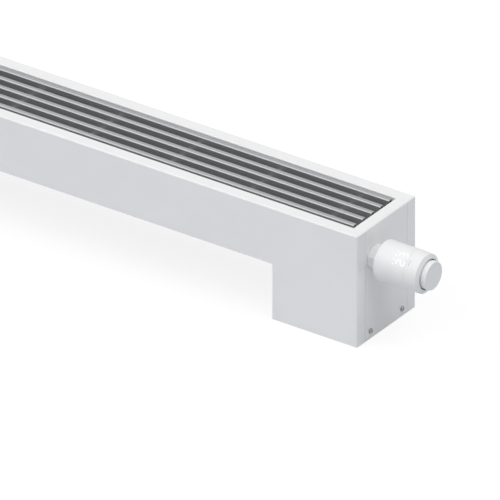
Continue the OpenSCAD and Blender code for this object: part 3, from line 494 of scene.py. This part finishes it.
# %% [markdown]
# ## Running the tree
# A modifier runs the tree on a piece, and its inputs are set by each socket's identifier. The
# result is then kept as a plain mesh in the piece itself, and the modifier is taken away, so that
# what the CAD's joints move later is only faces.

# %% Running the tree
def repeated(piece, **values):
    """Runs the tree on a piece and keeps the plain mesh that comes out."""
    modifier = piece.modifiers.new("repeat", "NODES")
    modifier.node_group = repeat_tree
    for item in repeat_tree.interface.items_tree:
        if item.name in values:
            modifier[item.identifier] = values[item.name]
    evaluated = piece.evaluated_get(bpy.context.evaluated_depsgraph_get())
    single = piece.data
    piece.data = bpy.data.meshes.new_from_object(evaluated)
    piece.modifiers.clear()
    bpy.data.meshes.remove(single)
    piece.data.name = piece.name


# %% [markdown]
# ## Grille
# The linear grille is five hollow bars on steel rods. Light runs along their top edges, so the
# chamfers matter most: a real extrusion has a small round at each corner of its chamfer, which
# gives the bright line its soft edges. One bar is an outline carried along X, with a smaller one
# inside it for the hollow, and the tree sets it down five times. The rods and spacers between the
# bars keep their CAD shape.

# %% Grille
low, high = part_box("grille_bars")
BAR_W, BAR_H, CHAMFER, WALL, BAR_COUNT = 7.0, 15.0, 1.0, 1.2, 5
BAR_ROUND = 0.15


def bar_outline(inset):
    """Outline (y, z) of a bar with chamfered top edges, drawn inset mm inside its faces."""
    half, bottom, top = BAR_W / 2 - inset, inset, BAR_H - inset
    corners = [(-half, bottom), (half, bottom), (half, top - CHAMFER), (half - CHAMFER, top),
               (-half + CHAMFER, top), (-half, top - CHAMFER)]
    return soften([(y, z, BAR_ROUND) for y, z in corners], steps=3)


mesh = bmesh.new()
half_l = (high.x - low.x) / 2
walls = []
for outline in (bar_outline(0), bar_outline(WALL)):
    walls.append([[mesh.verts.new((x, y * MM, z * MM)) for y, z in outline]
                  for x in (-half_l, half_l)])
for left, right in walls:
    bridge(mesh, left, right)
for face, hollow in zip(*walls):
    bridge(mesh, face, hollow)
bmesh.ops.recalc_face_normals(mesh, faces=mesh.faces)
grille = piece_of(mesh, "grille_bars_brushed", bars_finish)
pitch = (high.y - low.y - BAR_W * MM) / (BAR_COUNT - 1)
repeated(grille, Count=BAR_COUNT, Start=(0, low.y + BAR_W * MM / 2, low.z), Step=(0, pitch, 0),
         Finish=bars_finish)
done(grille, "grille", "anodised_bars", "grille_bars")

# %% [markdown]
# ## Sleeve of the head
# The head's side is two moulded shells, one behind the other, with a hairline between them. This
# is the rear one. Its rear edge has a round that the eye can see. The edge at the hairline is
# rounded by an eighth of a millimetre only, as on a real joint. 160 segments keep the outline
# round from close by.

# %% Sleeve of the head
SEGMENTS = 160
SHELL_WALL, REAR_OPENING_R = 2.0, 13.0
REAR_ROUND, EDGE_ROUND, SEAM_ROUND = 1.0, 0.3, 0.12
sleeve_low, sleeve_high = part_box("head_sleeve")
axis = Vector((0, (sleeve_low.y + sleeve_high.y) / 2, (sleeve_low.z + sleeve_high.z) / 2))
HEAD_R = (sleeve_high.z - sleeve_low.z) / 2 / MM

start, end = sleeve_low.x / MM, sleeve_high.x / MM
inner_r = HEAD_R - SHELL_WALL
sleeve_outline = [
    (start, REAR_OPENING_R, EDGE_ROUND), (start, HEAD_R, REAR_ROUND), (end, HEAD_R, SEAM_ROUND),
    (end, inner_r, 0), (start + SHELL_WALL, inner_r, 0),
    (start + SHELL_WALL, REAR_OPENING_R, EDGE_ROUND)]
sleeve = piece_of(turned(soften(sleeve_outline), SEGMENTS), "head_sleeve_moulded", shell, axis)
done(sleeve, "root", "white_shell_plastic", "head_sleeve")

# %% [markdown]
# ## Front ring of the head
# The ring narrows by under a millimetre to a crisp edge, and a wide chamfer leads from there to
# the knob's recess. It faces the eye at another angle than the side does, and so it shows as a
# darker band. The recess has a bulkhead for its floor, with a hole for the knob's shaft. A spigot
# behind the ring slides into the sleeve.

# %% Front ring of the head
FRONT_R, RECESS_R, SHAFT_R = 26.4, 20.7, 3.05
CHAMFER_L, RECESS_DEPTH, RECESS_ROUND, BULKHEAD_T = 3.2, 7.0, 0.4, 2.0
SPIGOT_L, SPIGOT_WALL, SPIGOT_PLAY, SPIGOT_ROUND, SPIGOT_ROOT = 4.0, 1.6, 0.2, 0.2, 1.0
ring_low, ring_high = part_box("head_front_ring")
spigot, front = ring_low.x / MM, ring_high.x / MM
seam, edge_x, floor_x = spigot + SPIGOT_L, front - CHAMFER_L, front - RECESS_DEPTH
pocket_x, pocket_r = edge_x - SHELL_WALL / 2, RECESS_R + SHELL_WALL
spigot_out = inner_r - SPIGOT_PLAY
spigot_in = spigot_out - SPIGOT_WALL
ring_outline = [
    (seam, HEAD_R, SEAM_ROUND), (edge_x, FRONT_R, EDGE_ROUND), (front, RECESS_R, EDGE_ROUND),
    (floor_x, RECESS_R, RECESS_ROUND), (floor_x, SHAFT_R, 0), (floor_x - BULKHEAD_T, SHAFT_R, 0),
    (floor_x - BULKHEAD_T, pocket_r, 0), (pocket_x, pocket_r, 0),
    (pocket_x, FRONT_R - SHELL_WALL, 0), (seam + SPIGOT_ROOT, inner_r, 0),
    (seam + SPIGOT_ROOT, spigot_in, 0), (spigot, spigot_in, SPIGOT_ROUND),
    (spigot, spigot_out, SPIGOT_ROUND), (seam, spigot_out, 0)]
ring = piece_of(turned(soften(ring_outline), SEGMENTS), "head_front_ring_moulded", shell, axis)
done(ring, "root", "white_shell_plastic", "head_front_ring")

# %% [markdown]
# ## Knob
# The knob sits in the ring's recess. It turns to set the temperature and can be pressed in against
# a spring. It is a turned shell with a nearly sharp edge, and a hub in its middle that fits over
# the shaft.

# %% Knob
CORE_R, HUB_R, KNOB_WALL, KNOB_EDGE = 18.8, 5.4, 1.8, 0.25
knob_low, knob_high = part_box("control_knob")
start, end = knob_low.x / MM, knob_high.x / MM
under = end - KNOB_WALL
cap_outline = [
    (end, 0, 0), (end, CORE_R, KNOB_EDGE), (start, CORE_R, EDGE_ROUND),
    (start, CORE_R - KNOB_WALL, 0), (under, CORE_R - KNOB_WALL, 0), (under, HUB_R, 0),
    (start, HUB_R, 0), (start, SHAFT_R, 0), (under, SHAFT_R, 0), (under, 0, 0)]
cap = piece_of(turned(soften(cap_outline), SEGMENTS), "knob_cap", shell, axis)
done(cap, "knob", "white_shell_plastic", "control_knob")

# %% [markdown]
# ## Ribs of the knob
# Fine ribs give the fingers a hold. They are one small half-round bar that the tree turns round
# the axis. At both ends it slopes down to a share of its height. Its flat side is sunk a hair into
# the knob, so that no gap shows.

# %% Ribs of the knob
RIB_COUNT, RIB_R, RIB_L, RIB_POINTS = 60, 0.4, 5.7, 6
RIB_SETBACK, RIB_SINK, SLOPE_L, END_SHARE = 0.5, 0.02, 0.3, 0.6


def tube(mesh, rings):
    """Joins each ring to the next and closes both ends."""
    for one, two in zip(rings, rings[1:]):
        bridge(mesh, one, two)
    for ring in (rings[0], rings[-1]):
        mesh.faces.new(ring)


mesh = bmesh.new()
front = end - RIB_SETBACK
rear = front - RIB_L
heights = [(rear, END_SHARE), (rear + SLOPE_L, 1.0), (front - SLOPE_L, 1.0), (front, END_SHARE)]
half_round = [math.pi * k / (RIB_POINTS - 1) for k in range(RIB_POINTS)]
sections = [[mesh.verts.new((x * MM, (CORE_R - RIB_SINK + share * RIB_R * math.sin(a)) * MM,
                             RIB_R * math.cos(a) * MM)) for a in half_round] for x, share in heights]
tube(mesh, sections)
bmesh.ops.recalc_face_normals(mesh, faces=mesh.faces)
ribs = piece_of(mesh, "knob_ribs", shell)
repeated(ribs, Count=RIB_COUNT, Start=axis, Turn=2 * math.pi / RIB_COUNT, Finish=shell)
done(ribs, "knob", "white_shell_plastic")

# %% [markdown]
# ## Knob spring
# A small coil spring behind the knob pushes it out again after a press. It rests on the encoder, and
# pressing the knob shortens it towards that end. The wire is a round section carried along a helix.

# %% Knob spring
TURNS, WIRE_R, RING_POINTS, WIRE_POINTS, KNOB_TRAVEL = 2, 0.3, 32, 10, 1.2
spring_low, spring_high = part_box("knob_spring")
coil_r = (spring_high.z - spring_low.z) / 2 / MM - WIRE_R
coil_l = (spring_high.x - spring_low.x) / MM - 2 * WIRE_R
mesh = bmesh.new()
sections = []
for i in range(TURNS * RING_POINTS + 1):
    turn, along = 2 * math.pi * i / RING_POINTS, WIRE_R + coil_l * i / (TURNS * RING_POINTS)
    section = []
    for a in [2 * math.pi * k / WIRE_POINTS for k in range(WIRE_POINTS)]:
        reach = coil_r + WIRE_R * math.cos(a)
        section.append(mesh.verts.new(((along + WIRE_R * math.sin(a)) * MM,
                                       reach * math.cos(turn) * MM, reach * math.sin(turn) * MM)))
    sections.append(section)
tube(mesh, sections)
bmesh.ops.recalc_face_normals(mesh, faces=mesh.faces)
spring_end = Vector((spring_low.x, axis.y, axis.z))
spring = piece_of(mesh, "knob_spring_wire", zinc, spring_end, crease=50)
done(spring, "root", "zinc_steel", "knob_spring")
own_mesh(spring)

# %% [markdown]
# ## Union nut
# An eight-sided nut pulls the head onto the valve. Its ends are turned to a cone before the flats
# show, so each flat ends in a curved edge. `turned` gives that by itself: every ring is cut by the
# flats, and the rings of the cone are smaller than the corners.

# %% Union nut
NUT_SIDES, NUT_FLATS, NUT_BORE_R, NUT_LIP_R, NUT_LIP_T = 8, 32.0, 15.05, 12.7, 3.0
CONE_L, CONE_DROP, CONE_POWER, CONE_STEPS = 0.5, 0.7, 1.3, 4
nut_low, nut_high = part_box("union_nut")
start, end = nut_low.x / MM, nut_high.x / MM
corner_r = NUT_FLATS / 2 / math.cos(math.pi / NUT_SIDES)
cone = [(start + CONE_L * k / CONE_STEPS, corner_r - CONE_DROP * (1 - k / CONE_STEPS) ** CONE_POWER)
        for k in range(CONE_STEPS + 1)]
outside = cone + [(start + end - x, r) for x, r in reversed(cone)]
bore = [(end, NUT_LIP_R), (end - NUT_LIP_T, NUT_LIP_R), (end - NUT_LIP_T, NUT_BORE_R),
        (start, NUT_BORE_R)]
nut_outline = [Vector(point) for point in outside + bore]
nut = piece_of(turned(nut_outline, SEGMENTS, NUT_FLATS, NUT_SIDES, range(len(outside))),
               "union_nut_moulded", shell, axis, crease=20)
done(nut, "nut", "white_shell_plastic", "union_nut")

# %% [markdown]
# ## End panel screws
# Two pan-head screws hold each end panel. A pan head is a flat-topped dome with a socket for a
# hexagon key. The screw is turned like the nut, with the socket's rings held inside its flats, and
# the tree sets it down at both places. The left-hand pair is the same screw turned round. The last
# point of the outline is the middle of the socket's floor, and the three before it are its walls.

# %% End panel screws
SCREW_PITCH, SCREW_Z, SCREW_SEGMENTS = 70.0, 11.0, 48
THREAD_R, THREAD_L, TIP_L, TIP_R = 2.0, 6.0, 0.8, 1.4
HEAD_REACH, HEAD_T, HEAD_TAPER, HEAD_ROUND = 3.5, 2.4, 0.3, 1.5
THREAD_ROUND, SMALL_ROUND = 0.2, 0.1
SOCKET, SOCKET_T, DRILLED_T, LEAD_IN, CORNER_ROOM = 2.2, 1.3, 1.5, 0.25, 0.3
panel_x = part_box("end_panel_right")[1].x
socket_r = SOCKET / 2 + CORNER_ROOM
screw_outline = soften([
    (-THREAD_L, 0, 0), (-THREAD_L, TIP_R, THREAD_ROUND), (TIP_L - THREAD_L, THREAD_R, THREAD_ROUND),
    (0, THREAD_R, SMALL_ROUND), (0, HEAD_REACH, EDGE_ROUND),
    (HEAD_T, HEAD_REACH - HEAD_TAPER, HEAD_ROUND),
    (HEAD_T, SOCKET / 2 + LEAD_IN, SMALL_ROUND), (HEAD_T - LEAD_IN, socket_r, 0),
    (HEAD_T - SOCKET_T, socket_r, 0), (HEAD_T - DRILLED_T, 0, 0)], steps=4)
socket_points = range(len(screw_outline) - 4, len(screw_outline) - 1)
for title, way in (("right", 1), ("left", -1)):
    mesh = turned(screw_outline, SCREW_SEGMENTS, SOCKET, faceted=socket_points)
    if way < 0:
        bmesh.ops.rotate(mesh, verts=mesh.verts, matrix=Matrix.Rotation(math.pi, 3, "Z"))
    screws = piece_of(mesh, f"end_screws_{title}", zinc)
    repeated(screws, Count=2, Start=(way * panel_x, -SCREW_PITCH / 2 * MM, SCREW_Z * MM),
             Step=(0, SCREW_PITCH * MM, 0), Finish=zinc)
    done(screws, "root", "zinc_steel", "end_panel_screws")

# %% [markdown]
# ## Light and openings of the display
# Diodes behind the thin white shell light up two digits and four small signs. The light is white and
# nearly even, so an emission of 1 over a dark base gives it. The openings of the room sensor are not
# cut: they are grey dots of painted shade on the shell, grey and not black because the openings are so
# small.

# %% Light and openings of the display
DIFFUSER_GRAIN, OPENING_GRAIN = 0.8, 0.5
glow, tree, shader = finish("display_light", "101010", Roughness=0.4, Emission_Strength=1.0)
pattern = between(tree, grain(tree, DIFFUSER_GRAIN), 0.96, 1.0)
shade = add(tree, "ShaderNodeCombineXYZ", {0: pattern, 1: pattern, 2: pattern})
tree.links.new(shade.outputs[0], shader.inputs["Emission Color"])
# Painted shade: the sensor's openings are grey dots on the shell that stand for the shade in the small
# holes.
painted_opening_shade, tree, shader = finish("sensor_opening_painted_shade", "6c6e72", Roughness=0.6)
tinted(tree, shader, grain(tree, OPENING_GRAIN), "626468", "76787c")

# %% [markdown]
# ## Strokes on a round shell
# What the display shows is drawn as flat paths in millimetres, and has to lie on a round shell.
# `walked` sets points along a path so close that it follows the shell. `inlay` gives the path a
# width, bends it round the head, sinks its underside into the shell and leaves its face just proud.

# %% Strokes on a round shell
PROUD, SUNK, STRIDE = 0.06, 0.1, 0.7


def walked(points):
    """The same path with points at most a stride apart."""
    made = [points[0]]
    for one, two in zip(points, points[1:]):
        parts = max(1, math.ceil((two - one).length / STRIDE))
        made += [one.lerp(two, k / parts) for k in range(1, parts + 1)]
    return made


def inlay(name, paths, width, angle, x, material):
    """Paths (to the right, up) in mm, laid on the head round its point at angle degrees and x mm."""
    mesh = bmesh.new()
    for path in [walked(points) for points in paths]:
        sections = []
        for i, here in enumerate(path):
            way = (path[min(i + 1, len(path) - 1)] - path[max(i - 1, 0)]).normalized()
            side = Vector((-way.y, way.x)) * width / 2
            section = []
            for (right, up), lift in ((here + side, -SUNK), (here + side, PROUD),
                                      (here - side, PROUD), (here - side, -SUNK)):
                turn, reach = math.radians(angle) - right / HEAD_R, (HEAD_R + lift) * MM
                section.append(mesh.verts.new(((x - up) * MM, axis.y + reach * math.cos(turn),
                                               axis.z + reach * math.sin(turn))))
            sections.append(section)
        tube(mesh, sections)
    bmesh.ops.recalc_face_normals(mesh, faces=mesh.faces)
    done(piece_of(mesh, name, material), "root", "white_shell_plastic")


# %% [markdown]
# ## Display
# A digit is one or two narrow strokes with round corners. A dot is a stroke too: its path is a circle
# of half the dot's radius, and a stroke as wide as the radius fills it. The digits show a plain
# number, the signs are four dots, and the sensor's openings are three smaller ones, grey dots of
# painted shade. Each group has its place along the head, from the end panel's face, and its angle from
# Y towards Z.

# %% Display
END_FACE = panel_x / MM
DIGITS_X, SIGNS_X, SENSOR_X = END_FACE + 54.3, END_FACE + 43.6, END_FACE + 66.2
TWO_ANGLE, THREE_ANGLE, SIGNS_ANGLE, SENSOR_ANGLE = 141.1, 117.4, 130.5, 133
HALF_W, HALF_H, STROKE_W, STROKE_ROUND = 2.9, 6.1, 1.6, 2.85
SIGN_R, SIGN_PLACES = 1.1, (-9, -3, 3, 9)
SENSOR_R, SENSOR_PLACES = 0.5, (-2.8, 0, 2.8)
DOT_POINTS = 12


def stroke(*corners):
    """Path through corners (to the right, up), rounded at all but the first and the last."""
    return soften([(x, y, STROKE_ROUND) for x, y in corners], steps=6, closed=False, hold=0)


def dot(x, r):
    """Path of a dot of radius r that lies x to the right."""
    return [Vector((x + r / 2 * math.cos(a), r / 2 * math.sin(a)))
            for a in [2 * math.pi * k / DOT_POINTS for k in range(DOT_POINTS + 1)]]


two = [stroke((-HALF_W, HALF_H), (HALF_W, HALF_H), (HALF_W, 0), (-HALF_W, 0), (-HALF_W, -HALF_H),
              (HALF_W, -HALF_H))]
three = [stroke((-HALF_W, side * HALF_H), (HALF_W, side * HALF_H), (HALF_W, 0), (-HALF_W / 2, 0))
         for side in (1, -1)]
signs = [dot(x, SIGN_R) for x in SIGN_PLACES]
openings = [dot(x, SENSOR_R) for x in SENSOR_PLACES]
inlay("display_digit_2", two, STROKE_W, TWO_ANGLE, DIGITS_X, glow)
inlay("display_digit_3", three, STROKE_W, THREE_ANGLE, DIGITS_X, glow)
inlay("display_signs", signs, SIGN_R, SIGNS_ANGLE, SIGNS_X, glow)
# The sensor's openings get the grey of painted shade, as dots on the shell and not as holes.
inlay("display_sensor_dots_painted_shade", openings, SENSOR_R, SENSOR_ANGLE, SENSOR_X, painted_opening_shade)

# %% [markdown]
# ## Floor
# The floor is pale and plain. The picture's ground is white, so the camera and whatever mirrors
# the floor see a dark floor with a glow that lifts it to white, and it still keeps a soft shadow of
# the heater. All other rays meet a plain pale floor.

# %% Floor
FLOOR_REACH, FLOOR_DROP, FLOOR_GLOW = 60.0, 0.3 * MM, 0.83


def seen_directly(tree):
    """1 for a ray from the camera, off a gloss or through glass, and 0 for all others."""
    path = add(tree, "ShaderNodeLightPath").outputs
    seen = path["Is Camera Ray"]
    for kind in ("Is Glossy Ray", "Is Transmission Ray"):
        seen = add(tree, "ShaderNodeMath", {0: seen, 1: path[kind]},
                   operation="ADD", use_clamp=True).outputs[0]
    return seen


ground = bmesh.new()
bmesh.ops.create_grid(ground, x_segments=2, y_segments=2, size=FLOOR_REACH)
floor_finish = bpy.data.materials.new("pale_studio_floor")
tree = emptied_tree(floor_finish)
pale = add(tree, "ShaderNodeBsdfDiffuse", {"Color": linear("cbced4")})
shadowed = add(tree, "ShaderNodeBsdfDiffuse", {"Color": linear("7c7c7c")})
lift = add(tree, "ShaderNodeEmission", {"Color": linear("ffffff"), "Strength": FLOOR_GLOW})
white = add(tree, "ShaderNodeAddShader", {0: shadowed.outputs[0], 1: lift.outputs[0]})
mix = add(tree, "ShaderNodeMixShader",
          {0: seen_directly(tree), 1: pale.outputs[0], 2: white.outputs[0]})
add(tree, "ShaderNodeOutputMaterial", {"Surface": mix.outputs[0]})
floor = piece_of(ground, "studio_floor", floor_finish, at=(0, 0, -FLOOR_DROP))
print("floor reaches", FLOOR_REACH, "m each way")

# %% [markdown]
# ## World
# The world is a white studio. The camera and mirrors see it at full white. As a light it is only
# about a third as strong, because the lamps do the rest.

# %% World
ROOM_LIGHT, ROOM_SEEN = 0.36, 1.0
world = bpy.data.worlds.new("white_studio")
bpy.context.scene.world = world
tree = emptied_tree(world)
dim = add(tree, "ShaderNodeBackground", {"Color": linear("ffffff"), "Strength": ROOM_LIGHT})
bright = add(tree, "ShaderNodeBackground", {"Color": linear("ffffff"), "Strength": ROOM_SEEN})
mix = add(tree, "ShaderNodeMixShader",
          {0: seen_directly(tree), 1: dim.outputs[0], 2: bright.outputs[0]})
add(tree, "ShaderNodeOutputWorld", {"Surface": mix.outputs[0]})
print("world: strength", ROOM_LIGHT, "as light,", ROOM_SEEN, "as seen")

# %% [markdown]
# ## Lamps
# Three soft lamps, from above, from the left and from the right, give the top, the front and the
# end their different greys. The right-hand one is the smallest and a little cool: it throws the
# head's shadow down the end panel.

# %% Lamps
def soft_lamp(name, strength, spread, towards, hex_colour):
    """A sun whose disc is so wide that its shadows are soft; towards is where it shines from."""
    lamp = bpy.data.objects.new(name, bpy.data.lights.new(name, "SUN"))
    lamp.data.energy, lamp.data.angle = strength, math.radians(spread)
    lamp.data.color = linear(hex_colour)[:3]
    lamp.rotation_euler = Vector(towards).to_track_quat("Z", "Y").to_euler()
    bpy.context.scene.collection.objects.link(lamp)
    print(name, "strength", strength)


soft_lamp("top_lamp", strength=1.0, spread=80, towards=(-0.08, -0.24, 0.97), hex_colour="ffffff")
soft_lamp("right_lamp", strength=0.72, spread=38, towards=(0.55, -0.1, 0.83), hex_colour="f8faff")
soft_lamp("left_lamp", strength=0.73, spread=50, towards=(-0.5, -0.6, 0.62), hex_colour="ffffff")
